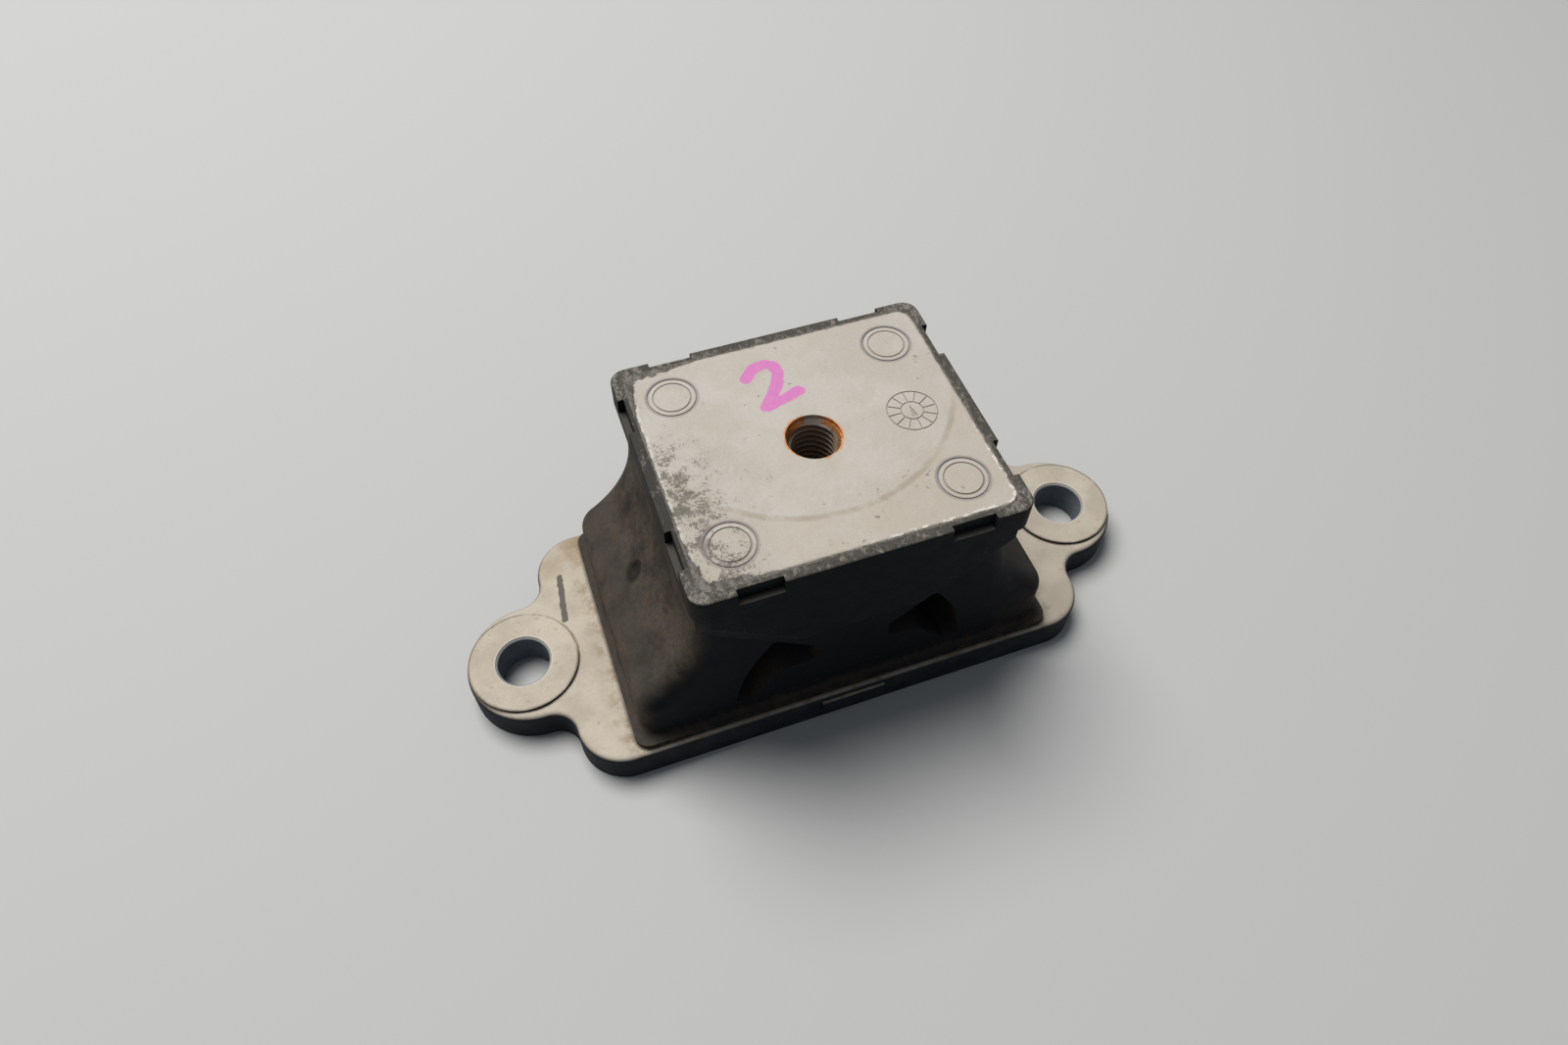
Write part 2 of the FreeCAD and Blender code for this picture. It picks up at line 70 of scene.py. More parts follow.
class Finish:
    """A material in the making. Most methods add nodes and give back the socket that they end in."""

    def __init__(self, name):
        self.material = bpy.data.materials.new(name)
        self.material.use_nodes = True
        self.tree = self.material.node_tree
        self.shader = self.tree.nodes["Principled BSDF"]
        place = self.tree.nodes.new("ShaderNodeTexCoord")
        self.place = place.outputs["Object"]
        self.x, self.y, self.z = self.parts_of(self.place)
        facing = self.tree.nodes.new("ShaderNodeNewGeometry")
        self.facing_x, self.facing_y, self.facing_z = self.parts_of(facing.outputs["Normal"])

    def add(self, kind, *inputs, **settings):
        """One node: its settings, then its inputs in order. None leaves an input alone."""
        node = self.tree.nodes.new(kind)
        for name, value in settings.items():
            setattr(node, name, value)
        for socket, value in zip(node.inputs, inputs):
            self.feed(socket, value)
        return node

    def feed(self, socket, value):
        if isinstance(value, bpy.types.NodeSocket):
            self.tree.links.new(value, socket)
        elif value is not None:
            socket.default_value = value

    def parts_of(self, vector):
        return self.add("ShaderNodeSeparateXYZ", vector).outputs[:]

    def math(self, operation, *values):
        return self.add("ShaderNodeMath", *values, operation=operation).outputs[0]

    def plus(self, first, second):
        return self.math("ADD", first, second)

    def minus(self, first, second):
        return self.math("SUBTRACT", first, second)

    def absolute(self, value):
        return self.math("ABSOLUTE", value)

    def square(self, value):
        return self.math("POWER", value, 2.0)

    def product(self, *values):
        result = values[0]
        for value in values[1:]:
            result = self.math("MULTIPLY", result, value)
        return result

    def ramp(self, value, start, end):
        """0 where a value is at start or before, 1 at end or beyond, smooth between."""
        node = self.add("ShaderNodeMapRange", value, start, end, 0.0, 1.0,
                        interpolation_type="SMOOTHSTEP")
        return node.outputs[0]

    def noise(self, grain, detail=3.0, roughness=0.55, stretch=(1, 1, 1), shift=0.0):
        """Cloudy noise from 0 to 1 whose lumps are about one grain across."""
        moved = self.add("ShaderNodeMapping", self.place, (shift, shift, shift), None, stretch)
        node = self.add("ShaderNodeTexNoise", moved.outputs[0], None, 1 / grain, detail, roughness)
        return node.outputs[0]

    def specks(self, grain, amount, detail=5.0, shift=0.0):
        """Ragged spots: 1 where noise passes a level. More of them as amount goes from 0 to 1."""
        level = self.minus(0.78, self.product(amount, 0.35))
        cloud = self.noise(grain, detail, 0.7, shift=shift)
        return self.ramp(self.minus(cloud, level), 0.0, 0.07)

    def blend(self, amount, first, second):
        """The first colour, with the second over it by an amount."""
        node = self.tree.nodes.new("ShaderNodeMix")
        node.data_type = "RGBA"
        self.feed(node.inputs["Factor"], amount)
        self.feed(node.inputs["A"], first)
        self.feed(node.inputs["B"], second)
        return node.outputs["Result"]

    def length(self, across, along):
        """Length of a level step with these two parts."""
        return self.math("SQRT", self.plus(self.square(across), self.square(along)))

    def distance_to(self, x, y):
        """Distance from an upright axis at x, y."""
        return self.length(self.minus(self.x, x), self.minus(self.y, y))

    def ring(self, x, y, radius, half_width):
        """1 on a circle seen from above, fading to 0 at half a width either side."""
        off = self.absolute(self.minus(self.distance_to(x, y), radius))
        return self.ramp(off, half_width, 0.3 * half_width)

    def outside_box(self, half_x, half_y, corner):
        """Distance outside an upright box with rounded corners: less than 0 inside it."""
        over_x = self.minus(self.absolute(self.x), half_x - corner)
        over_y = self.minus(self.absolute(self.y), half_y - corner)
        outer = self.length(self.math("MAXIMUM", over_x, 0.0), self.math("MAXIMUM", over_y, 0.0))
        inner = self.math("MINIMUM", self.math("MAXIMUM", over_x, over_y), 0.0)
        return self.minus(self.plus(outer, inner), corner)

    def stroke(self, points, half_width, wobble):
        """1 along a line drawn through points on a level face, with a wobbling edge."""
        nearest = None
        for (x0, y0), (x1, y1) in zip(points, points[1:]):
            run_x, run_y = x1 - x0, y1 - y0
            run_squared = run_x ** 2 + run_y ** 2
            off_x, off_y = self.minus(self.x, x0), self.minus(self.y, y0)
            along = self.plus(self.product(off_x, run_x / run_squared),
                              self.product(off_y, run_y / run_squared))
            along = self.math("MINIMUM", self.math("MAXIMUM", along, 0.0), 1.0)
            off = self.length(self.minus(off_x, self.product(along, run_x)),
                              self.minus(off_y, self.product(along, run_y)))
            nearest = off if nearest is None else self.math("MINIMUM", nearest, off)
        uneven = self.product(self.minus(self.noise(1.2 * MM), 0.5), wobble)
        return self.ramp(self.plus(nearest, uneven), half_width, 0.75 * half_width)

    def finish(self, skin, roughness, metallic, height, depth, gloss=0.5):
        """Wires the skin's colour, roughness and relief into the shader and gives the material."""
        self.feed(self.shader.inputs["Base Color"], skin)
        self.feed(self.shader.inputs["Roughness"], roughness)
        self.feed(self.shader.inputs["Metallic"], metallic)
        self.feed(self.shader.inputs["Specular IOR Level"], gloss)
        bump = self.tree.nodes.new("ShaderNodeBump")
        bump.inputs["Strength"].default_value = 1.0
        bump.inputs["Distance"].default_value = depth
        self.feed(bump.inputs["Height"], height)
        self.feed(self.shader.inputs["Normal"], bump.outputs[0])
        return self.material


def colour(red, green, blue):
    return (red, green, blue, 1.0)


# ---------------------------------------------------------------- what the finishes share

DIRT_AND_SHADE = colour(0.13, 0.115, 0.095)
BROWN_STAIN = colour(0.25, 0.18, 0.11)
RUST = colour(0.55, 0.17, 0.035)
BRIGHT_RUST = colour(0.75, 0.33, 0.10)


def cast_skin(f, tone, dark, pale):
    """A casting's skin over its fine sandy grain, and the grain itself for the relief."""
    grain = f.noise(0.35 * MM, 4.0, 0.7)
    skin = f.blend(f.product(f.ramp(grain, 0.52, 0.75), 0.6), tone, pale)
    return f.blend(f.product(f.ramp(grain, 0.44, 0.26), 0.6), skin, dark), grain


def to_the_sides(f):
    """0 at the front and back of the bush's mouth, 1 at its two sides."""
    across = f.minus(f.x, f.product(f.y, 0.4))
    return f.ramp(f.absolute(across), 1.2 * MM, 3.6 * MM)


def rust_tone(f):
    return f.blend(f.ramp(f.noise(0.5 * MM), 0.3, 0.7), RUST, BRIGHT_RUST)


# ---------------------------------------------------------------- the wedge block's finish

BLOCK_ALLOY, BLOCK_ALLOY_DULL = colour(0.555, 0.525, 0.485), colour(0.515, 0.475, 0.420)
BLOCK_GRAIN_DARK, BLOCK_GRAIN_PALE = colour(0.38, 0.34, 0.29), colour(0.66, 0.63, 0.59)
BRUSH_LINES = colour(0.72, 0.70, 0.67)
YELLOWED_ALLOY = colour(0.49, 0.435, 0.35)
GRIME_FILM = colour(0.32, 0.30, 0.27)
OIL_SPOT = colour(0.19, 0.165, 0.135)
SUNK_DARKENING = colour(0.20, 0.18, 0.155)
PIN_PAINTED_HIGHLIGHT = colour(0.66, 0.64, 0.62)
PIN_OUTER_PAINTED_SHADE, PIN_INNER_PAINTED_SHADE = colour(0.235, 0.225, 0.225), colour(0.17, 0.155, 0.135)
PINK_MARKER = colour(0.68, 0.20, 0.53)
DARK_SMEAR, PALE_SMEAR = colour(0.065, 0.060, 0.053), colour(0.215, 0.203, 0.180)
BURR_AND_HIGHLIGHT = colour(0.82, 0.80, 0.75)


def pad_print(f, skin):
    """The bracket's pad left a round print, greyer inside and edged with a faint brown line."""
    x, y, radius = 0.0, 13.5 * MM, 31.7 * MM
    outside = f.ramp(f.distance_to(x, y), radius - 0.4 * MM, radius)
    skin = f.blend(f.product(outside, 0.35), skin, YELLOWED_ALLOY)
    edge = f.product(f.ring(x, y, radius, 0.9 * MM), f.ramp(f.noise(4 * MM, 5.0), 0.30, 0.62),
                     f.ramp(f.y, 4 * MM, -6 * MM), 0.36)
    return f.blend(edge, skin, BROWN_STAIN)


def pepper_grime(f, skin):
    """Grime lies as fine pepper, thickest at the front on the left, with a few oily spots."""
    left = f.ramp(f.x, -9 * MM, -28 * MM)
    front = f.plus(f.product(f.ramp(f.y, 12 * MM, -4 * MM), 0.55), 0.45)
    patches = f.ramp(f.noise(5 * MM, 4.0, 0.6, shift=0.13), 0.42, 0.60)
    grime = f.product(left, front, f.plus(f.product(patches, 0.62), 0.50))
    at_edge = f.product(f.ramp(f.x, -24 * MM, -29 * MM), f.ramp(f.y, 10 * MM, 1 * MM))
    grime = f.plus(grime, f.product(at_edge, 0.11))
    skin = f.blend(f.product(grime, 0.38), skin, GRIME_FILM)
    skin = f.blend(f.product(f.specks(0.45 * MM, grime, 4.0), 0.72), skin, DIRT_AND_SHADE)
    coarse = f.specks(1.1 * MM, f.product(grime, 0.8), shift=0.44)
    skin = f.blend(f.product(coarse, 0.6), skin, DIRT_AND_SHADE)
    spots = f.specks(1.3 * MM, f.product(patches, 0.52), shift=0.31)
    return f.blend(f.product(spots, 0.75), skin, OIL_SPOT)


def pin_marks(f, skin):
    """The four ejector pin marks with their relief's light and shade painted on: a broad soft line of
    painted shade outside, a band of painted highlight and a thin line of painted shade inside, each
    stronger on one half of the ring. The thin line is fainter on the two at the back."""
    band_radius = (PIN_MARK_OUTER + PIN_MARK_INNER) / 2
    for x in (-PIN_MARK_X, PIN_MARK_X):
        for y, inner_strength in ((-PIN_MARK_Y, 1.0), (PIN_MARK_Y, 0.5)):
            # Painted light: the near and far halves of each ring take its painted shade and highlight
            # unevenly.
            near_half_shading = f.ramp(f.y, y + 3 * MM, y - 3 * MM)
            far_half_shading = f.minus(1.0, near_half_shading)
            outer = f.product(f.ring(x, y, PIN_MARK_OUTER, 0.62 * MM),
                              f.plus(f.product(far_half_shading, 0.20), 0.50))
            inner = f.product(f.ring(x, y, PIN_MARK_INNER, 0.25 * MM),
                              f.plus(f.product(near_half_shading, 0.5), 0.2), inner_strength)
            band = f.product(f.ring(x, y, band_radius, 0.5 * MM), far_half_shading, 0.3)
            skin = f.blend(band, skin, PIN_PAINTED_HIGHLIGHT)
            skin = f.blend(outer, skin, PIN_OUTER_PAINTED_SHADE)
            skin = f.blend(inner, skin, PIN_INNER_PAINTED_SHADE)
    return skin


def pink_two(f, skin):
    """A figure 2 drawn by hand with a pink marker, worn thin in places."""
    path = [(-7.4, 18.0), (-5.2, 20.2), (-2.7, 20.7), (-1.2, 19.8), (-0.9, 17.6), (-2.1, 14.8),
            (-3.9, 12.2), (-5.9, 9.8), (-2.3, 10.7), (1.4, 11.9)]
    ink = f.stroke([(x * MM, y * MM) for x, y in path], 1.4 * MM, 0.8 * MM)
    worn = f.ramp(f.noise(0.6 * MM, 4.0, 0.6), 0.16, 0.46)
    return f.blend(f.product(ink, worn, f.ramp(f.facing_z, 0.7, 0.9), 0.94), skin, PINK_MARKER)


def mouth_rust(f, skin):
    """Rust has crept out of the bush over the rim of its mouth, farthest to the two sides."""
    least_reach = 4.5 * MM
    reach = f.plus(f.product(to_the_sides(f), 0.40 * MM),
                   f.product(f.noise(1.6 * MM, 5.0, 0.7, shift=0.7), 1.5 * MM))
    beyond = f.minus(f.minus(f.distance_to(0.0, 0.0), least_reach), reach)
    return f.blend(f.product(f.ramp(beyond, 0.20 * MM, -0.15 * MM), 0.85), skin, rust_tone(f))


def rubber_lap(f, skin):
    """A ragged skin of rubber laps over the edge at the corners on the left, and hardly elsewhere.
    Gives the skin and where the lap is. A painted shadow line lies on the alloy beside it, and bright
    burrs with painted highlight show beside it where it is thin."""
    at_side = f.ramp(f.absolute(f.y), 14 * MM, 25 * MM)
    at_corner = f.product(f.ramp(f.x, -14 * MM, -27 * MM), at_side)
    ragged = f.product(f.minus(f.noise(2.2 * MM, 6.0, 0.72), 0.5),
                       f.plus(f.product(at_corner, 3.4 * MM), 0.8 * MM))
    out = f.plus(f.outside_box(BLOCK_CORNER.x, BLOCK_CORNER.y, 3.2 * MM),
                 f.plus(ragged, f.product(at_corner, 1.4 * MM)))
    lap = f.ramp(out, -0.42 * MM, -0.30 * MM)
    torn = f.ramp(f.noise(1.2 * MM, 7.0, 0.78, stretch=(1.0, 0.5, 1.0)), 0.38, 0.64)
    # Painted shadow: a dark line on the alloy just inside the lap's edge.
    skin = f.blend(f.product(f.ramp(out, -0.85 * MM, -0.45 * MM), 0.4), skin, DIRT_AND_SHADE)

    # Bright burrs with painted highlight along the alloy's edge.
    frayed = f.plus(out, f.product(f.noise(0.5 * MM, 3.0, shift=0.5), 0.5 * MM))
    front_right = f.product(f.ramp(f.x, -4 * MM, 10 * MM), f.ramp(f.y, -2 * MM, -16 * MM))
    left_run = f.product(f.ramp(f.x, -20 * MM, -28 * MM), f.ramp(at_side, 0.6, 0.1), 0.6)
    burr_and_highlight = f.product(f.ramp(frayed, -0.80 * MM, -0.55 * MM),
                     f.ramp(f.noise(1.1 * MM, 4.0, 0.6, shift=0.35), 0.46, 0.54),
                     f.math("MAXIMUM", front_right, left_run))
    skin = f.blend(f.product(burr_and_highlight, 0.75), skin, BURR_AND_HIGHLIGHT)
    return f.blend(lap, skin, f.blend(torn, DARK_SMEAR, PALE_SMEAR)), lap


def cast_block_finish():
    """Cast aluminium, dulled and dirty, with painted shade and highlight in its marks and smeared
    rubber round the edge.
    """
    f = Finish("cast_block_alloy")
    tone = f.blend(f.ramp(f.noise(9 * MM), 0.35, 0.65), BLOCK_ALLOY, BLOCK_ALLOY_DULL)
    skin, grain = cast_skin(f, tone, BLOCK_GRAIN_DARK, BLOCK_GRAIN_PALE)
    brushed = f.noise(0.30 * MM, 2.0, 0.5, stretch=(1.0, 0.08, 1.0), shift=0.27)
    skin = f.blend(f.product(f.ramp(brushed, 0.66, 0.76), 0.35), skin, BRUSH_LINES)
    skin = pad_print(f, skin)
    skin = pepper_grime(f, skin)

    # Whatever is sunk below the face is made darker.
    sunk = f.ramp(f.z, TOP - 0.05 * MM, TOP - 0.16 * MM)
    skin = f.blend(f.product(sunk, 0.42), skin, SUNK_DARKENING)
    skin = pin_marks(f, skin)
    skin = pink_two(f, skin)
    skin = mouth_rust(f, skin)
    skin, lap = rubber_lap(f, skin)

    relief = f.plus(f.plus(f.product(grain, 0.3), f.noise(1.6 * MM)), f.product(lap, 1.6))
    rough = f.plus(f.product(f.noise(0.8 * MM), 0.25), 0.52)
    bare = f.product(f.minus(1.0, lap), 0.12)
    return f.finish(skin, rough, bare, relief, 0.08 * MM, gloss=0.35)


# ---------------------------------------------------------------- the plate's finish

PLATE_ALLOY, PLATE_ALLOY_DULL = colour(0.60, 0.54, 0.455), colour(0.50, 0.445, 0.37)
PLATE_GRAIN_DARK, PLATE_GRAIN_PALE = colour(0.36, 0.31, 0.25), colour(0.64, 0.60, 0.53)
BACK_STAIN = colour(0.36, 0.26, 0.16)
BROWN_SPECK = colour(0.34, 0.25, 0.16)
BOSS_EDGE_DIRT_AND_SHADE = colour(0.19, 0.16, 0.12)
MOUTH_METAL_AND_HIGHLIGHT = colour(0.72, 0.70, 0.66)
BLACK_PEN = colour(0.105, 0.10, 0.095)
SIDE_SHADE_DARK, SIDE_SHADE_PALE = colour(0.018, 0.023, 0.030), colour(0.045, 0.051, 0.058)
BORE_SHADE_DARK, BORE_SHADE_PALE = colour(0.14, 0.165, 0.20), colour(0.31, 0.345, 0.38)


def stains_by_the_rubber(f, skin):
    """A dark line follows the rubber's foot, and brown stains lie beside it and along the back."""
    foot = f.outside_box(FOOT_HALF_LENGTH, FOOT_HALF_DEPTH, 3 * MM)
    beside = f.product(f.ramp(foot, 5.0 * MM, 0.2 * MM),
                       f.ramp(f.noise(3.5 * MM, 5.0, 0.65), 0.42, 0.66))
    skin = f.blend(f.product(beside, 0.75), skin, BROWN_STAIN)
    skin = f.blend(f.product(f.ramp(foot, 0.8 * MM, 0.1 * MM), 0.75), skin, DIRT_AND_SHADE)
    at_back = f.product(f.ramp(f.y, 12 * MM, 26 * MM), f.ramp(f.noise(6 * MM, 4.0), 0.38, 0.6))
    return f.blend(f.product(at_back, 0.45), skin, BACK_STAIN)


def boss_marks(f, skin, from_hole):
    """A dark line of dirt and painted shade runs round each boss, and the holes' mouths are bright
    with bare metal and painted highlight.
    """
    # Dirt and painted shade at the boss's edge.
    off_edge = f.absolute(f.minus(from_hole, BOSS_RADIUS))
    edge = f.product(f.ramp(off_edge, 0.55 * MM, 0.16 * MM),
                     f.ramp(f.noise(5 * MM, 3.0, shift=0.21), 0.3, 0.5), 0.75)
    skin = f.blend(edge, skin, BOSS_EDGE_DIRT_AND_SHADE)
    # Bare machined metal with painted highlight at the holes' mouths.
    mouth = f.ramp(from_hole, EAR_HOLE_RADIUS + 0.75 * MM, EAR_HOLE_RADIUS + 0.55 * MM)
    return f.blend(f.product(mouth, 0.8), skin, MOUTH_METAL_AND_HIGHLIGHT)


def pen_dash(f, skin):
    """A short dash of black pen on the left of the plate."""
    path = [(-52.2 * MM, 18.6 * MM), (-52.8 * MM, 13 * MM), (-53.4 * MM, 7.4 * MM)]
    dash = f.stroke(path, 0.75 * MM, 0.8 * MM)
    return f.blend(f.product(dash, f.ramp(f.facing_z, 0.6, 0.9), 0.9), skin, BLACK_PEN)


def cast_plate_finish():
    """Cast aluminium plate: pale on top, stained brown beside the rubber, with painted shade down its
    sides and in its bores.
    """
    f = Finish("cast_plate_alloy")
    tone = f.blend(f.ramp(f.noise(9 * MM, 4.0), 0.35, 0.65), PLATE_ALLOY, PLATE_ALLOY_DULL)
    skin, grain = cast_skin(f, tone, PLATE_GRAIN_DARK, PLATE_GRAIN_PALE)
    skin = stains_by_the_rubber(f, skin)
    skin = f.blend(f.product(f.specks(2.0 * MM, 0.52), 0.5), skin, BROWN_SPECK)
    skin = f.blend(f.product(f.specks(0.7 * MM, 0.30, shift=0.62), 0.6), skin, DIRT_AND_SHADE)
    from_hole = f.math("MINIMUM", f.distance_to(-EAR_PITCH / 2, 0.0),
                       f.distance_to(EAR_PITCH / 2, 0.0))
    skin = boss_marks(f, skin, from_hole)
    skin = pen_dash(f, skin)

    # Painted shade: the upright sides and the rounding of their top edges are painted dark and bluish.
    upright = f.ramp(f.facing_z, 0.94, 0.42)
    side_shade = f.blend(f.ramp(f.noise(4 * MM, 5.0, 0.55), 0.30, 0.75), SIDE_SHADE_DARK, SIDE_SHADE_PALE)
    skin = f.blend(upright, skin, side_shade)
    # Painted shade: the bores are painted dark and bluish.
    bore = f.ramp(from_hole, EAR_HOLE_RADIUS + 0.10 * MM, EAR_HOLE_RADIUS + 0.02 * MM)
    skin = f.blend(bore, skin, f.blend(f.noise(2 * MM), BORE_SHADE_DARK, BORE_SHADE_PALE))

    relief = f.plus(f.product(grain, 0.3), f.noise(1.8 * MM))
    rough = f.plus(f.product(f.noise(0.9 * MM), 0.25), 0.55)
    bare = f.product(f.minus(1.0, upright), 0.1)
    return f.finish(skin, rough, bare, relief, 0.08 * MM, gloss=0.14)


# ---------------------------------------------------------------- the rubber's finish

BLACK_RUBBER, SOFT_BLACK_RUBBER = colour(0.004, 0.006, 0.0085), colour(0.009, 0.011, 0.014)
CLEAN_RUBBER_AND_SHADE = colour(0.018, 0.018, 0.017)
BROWN_DUST = colour(0.128, 0.108, 0.086)
RUSTY_DUST = colour(0.16, 0.095, 0.055)
GREY_DUST = colour(0.085, 0.078, 0.068)
NOTCH_DUST = colour(0.10, 0.095, 0.085)
RIM_RUBBER = colour(0.088, 0.083, 0.074)
RIM_WEAR, RIM_SPECK = colour(0.30, 0.285, 0.255), colour(0.045, 0.041, 0.036)
SCUFF = colour(0.17, 0.165, 0.155)
FOOT_STAIN = colour(0.12, 0.085, 0.055)
MUD = colour(0.105, 0.080, 0.055)
PALE_PIT = colour(0.11, 0.105, 0.095)


def left_side_dust(f, skin):
    """Brown dust on what faces left, thin by the rim, with a rusty cast in places."""
    facing_left = f.ramp(f.facing_x, -0.25, -0.85)
    clouds = f.product(f.ramp(f.noise(7 * MM, 5.0, 0.65), 0.30, 0.62),
                       f.plus(f.product(f.ramp(f.noise(0.8 * MM, 5.0, 0.7), 0.38, 0.60), 0.5), 0.6))
    below_rim = f.ramp(f.z, TOP - 4 * MM, TOP - 16 * MM)
    dusty = f.product(facing_left, f.plus(f.product(clouds, 0.62), 0.22),
                      f.plus(f.product(below_rim, 0.85), 0.15))
    skin = f.blend(dusty, skin, BROWN_DUST)
    rusty = f.product(facing_left, below_rim,
                      f.ramp(f.noise(4 * MM, 5.0, 0.7, shift=0.4), 0.50, 0.72))
    return f.blend(f.product(rusty, 0.45), skin, RUSTY_DUST)


def rim_wear(f, skin, facing_up):
    """The rim's top is rubbed grey, most at its corners and least along its left side."""
    on_rim = f.product(facing_up, f.ramp(f.z, TOP - 1 * MM, TOP - 0.3 * MM))
    at_corner = f.product(f.ramp(f.absolute(f.x), 22 * MM, 30 * MM),
                          f.ramp(f.absolute(f.y), 18 * MM, 26 * MM))
    left_run = f.product(f.ramp(f.x, -20 * MM, -28 * MM), f.ramp(at_corner, 0.6, 0.1))
    skin = f.blend(f.product(left_run, on_rim, 0.7), skin, CLEAN_RUBBER_AND_SHADE)
    skin = f.blend(f.product(on_rim, f.minus(0.75, f.product(left_run, 0.40))), skin, RIM_RUBBER)
    wear = f.plus(f.noise(1.2 * MM, 7.0, 0.78, stretch=(1.0, 0.6, 1.0)),
                  f.minus(f.product(at_corner, 0.06), f.product(left_run, 0.04)))
    skin = f.blend(f.product(on_rim, f.ramp(wear, 0.50, 0.66), 0.85), skin, RIM_WEAR)
    return f.blend(f.product(on_rim, f.specks(0.7 * MM, 0.72, 6.0, shift=0.66), 0.6), skin, RIM_SPECK)


def wedge_scuffs(f, skin):
    """Handling has scuffed the proud edges of the wedge's face."""
    out_front = f.ramp(f.absolute(f.y), 26.3 * MM, 28.3 * MM)
    crease = f.minus(f.z, f.plus(f.product(f.absolute(f.x), WEDGE_SLOPE), WEDGE_TIP))
    by_crease = f.ramp(f.absolute(crease), 3.2 * MM, 0.4 * MM)
    scuffs = f.product(out_front, by_crease, f.specks(0.7 * MM, 0.55, 6.0, shift=0.8))
    return f.blend(f.product(scuffs, 0.6), skin, SCUFF)


def rubber_finish():
    """Black rubber: brown dust on the left, rubbed grey along its edges, stained at its foot."""
    f = Finish("black_rubber")
    skin = f.blend(f.noise(5 * MM, 4.0), BLACK_RUBBER, SOFT_BLACK_RUBBER)
    skin = left_side_dust(f, skin)

    # Dust lies on whatever faces up, the floors of the rim's notches too, but not in the dimple, which
    # gets painted shade.
    facing_up = f.ramp(f.facing_z, 0.4, 0.95)
    skin = f.blend(f.product(facing_up, 0.55), skin, GREY_DUST)
    dimple = f.add("ShaderNodeVectorMath", f.place, DIMPLE, operation="DISTANCE").outputs["Value"]
    # Painted shade: the dimple is darkened.
    skin = f.blend(f.product(f.ramp(dimple, 3.0 * MM, 1.5 * MM), 0.85), skin, CLEAN_RUBBER_AND_SHADE)
    in_notch = f.product(facing_up, f.ramp(f.z, TOP - 8 * MM, TOP - 6 * MM))
    skin = f.blend(f.product(in_notch, 0.5), skin, NOTCH_DUST)
    skin = rim_wear(f, skin, facing_up)
    skin = wedge_scuffs(f, skin)

    # Brown stains ring the foot, mud has dried low on the right, and pale pits lie all over.
    low = f.ramp(f.z, PLATE_TOP + 5 * MM, PLATE_TOP)
    stain = f.product(low, f.ramp(f.noise(2.2 * MM, 5.0, 0.65, shift=0.2), 0.42, 0.66))
    skin = f.blend(f.product(stain, 0.5), skin, FOOT_STAIN)
    mud = f.product(f.ramp(f.x, 30 * MM, 45 * MM), f.ramp(f.z, PLATE_TOP + 26 * MM, PLATE_TOP),
                    f.ramp(f.noise(6 * MM, 5.0, 0.6, shift=0.6), 0.35, 0.65))
    skin = f.blend(f.product(mud, 0.45), skin, MUD)
    skin = f.blend(f.product(f.specks(0.8 * MM, 0.30, 4.0, shift=0.9), 0.35), skin, PALE_PIT)

    relief = f.plus(f.noise(1.4 * MM, 5.0, 0.6), f.product(f.noise(0.3 * MM), 0.3))
    rough = f.plus(f.product(f.noise(3 * MM), 0.2), 0.55)
    return f.finish(skin, rough, 0.0, relief, 0.09 * MM, gloss=0.12)


# ---------------------------------------------------------------- the bush and its finish

STEEL_DARK, STEEL_PALE = colour(0.44, 0.42, 0.40), colour(0.60, 0.58, 0.55)
BROWN_TINT = colour(0.40, 0.27, 0.14)
OILY_CREST_HIGHLIGHT, OILY_ROOT_SHADE = colour(0.27, 0.195, 0.140), colour(0.055, 0.036, 0.024)


def bush_finish():
    """Turned steel: rust round the face, a bright lead-in, brown and oily down the thread, with
    painted highlight on its crests and painted shade in its roots.
    """
    f = Finish("bush_steel")
    steel = f.blend(f.noise(0.6 * MM), STEEL_DARK, STEEL_PALE)
    from_axis = f.distance_to(0.0, 0.0)
    patches = f.plus(f.product(to_the_sides(f), 0.16), f.noise(1.8 * MM, 4.0, shift=0.6))
    rusty = f.product(f.ramp(from_axis, THREAD_CREST + 0.20 * MM, THREAD_CREST + 0.50 * MM),
                      f.ramp(patches, 0.50, 0.58),
                      f.ramp(f.z, BUSH_FACE - 1.2 * MM, BUSH_FACE - 0.6 * MM))
    tinted = f.ramp(f.noise(2.5 * MM, 4.0, shift=0.3), 0.42, 0.60)
    skin = f.blend(f.product(tinted, 0.5), steel, BROWN_TINT)
    skin = f.blend(f.product(rusty, 0.95), skin, rust_tone(f))

    deep = f.ramp(f.z, BUSH_FACE - 1.0 * MM, BUSH_FACE - 2.0 * MM)
    # Painted light: over the brown oil, the thread's crests get painted highlight and its roots
    # painted shade.
    groove = f.ramp(from_axis, THREAD_CREST + 0.15 * MM, THREAD_ROOT - 0.05 * MM)
    oil_with_light_and_shade = f.blend(groove, OILY_CREST_HIGHLIGHT, OILY_ROOT_SHADE)
    skin = f.blend(f.product(deep, 0.92), skin, oil_with_light_and_shade)

    rough = f.plus(f.product(f.noise(0.5 * MM), 0.2), f.plus(f.product(deep, 0.18), 0.28))
    metallic = f.minus(0.8, f.product(deep, 0.4))
    return f.finish(skin, rough, metallic, f.noise(0.4 * MM), 0.04 * MM)


def new_piece(bm, name, material):
    """A finished mesh piece: normals out, smooth where it curves, riding on the mount."""
    bmesh.ops.recalc_face_normals(bm, faces=bm.faces)
    mesh = bpy.data.meshes.new(name)
    bm.to_mesh(mesh)
    bm.free()
    mesh.shade_smooth()
    mesh.set_sharp_from_angle(angle=math.radians(32))
    piece = bpy.data.objects.new(name, mesh)
    bpy.context.collection.objects.link(piece)
    mesh.materials.append(material)
    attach(piece, "root")
    return piece


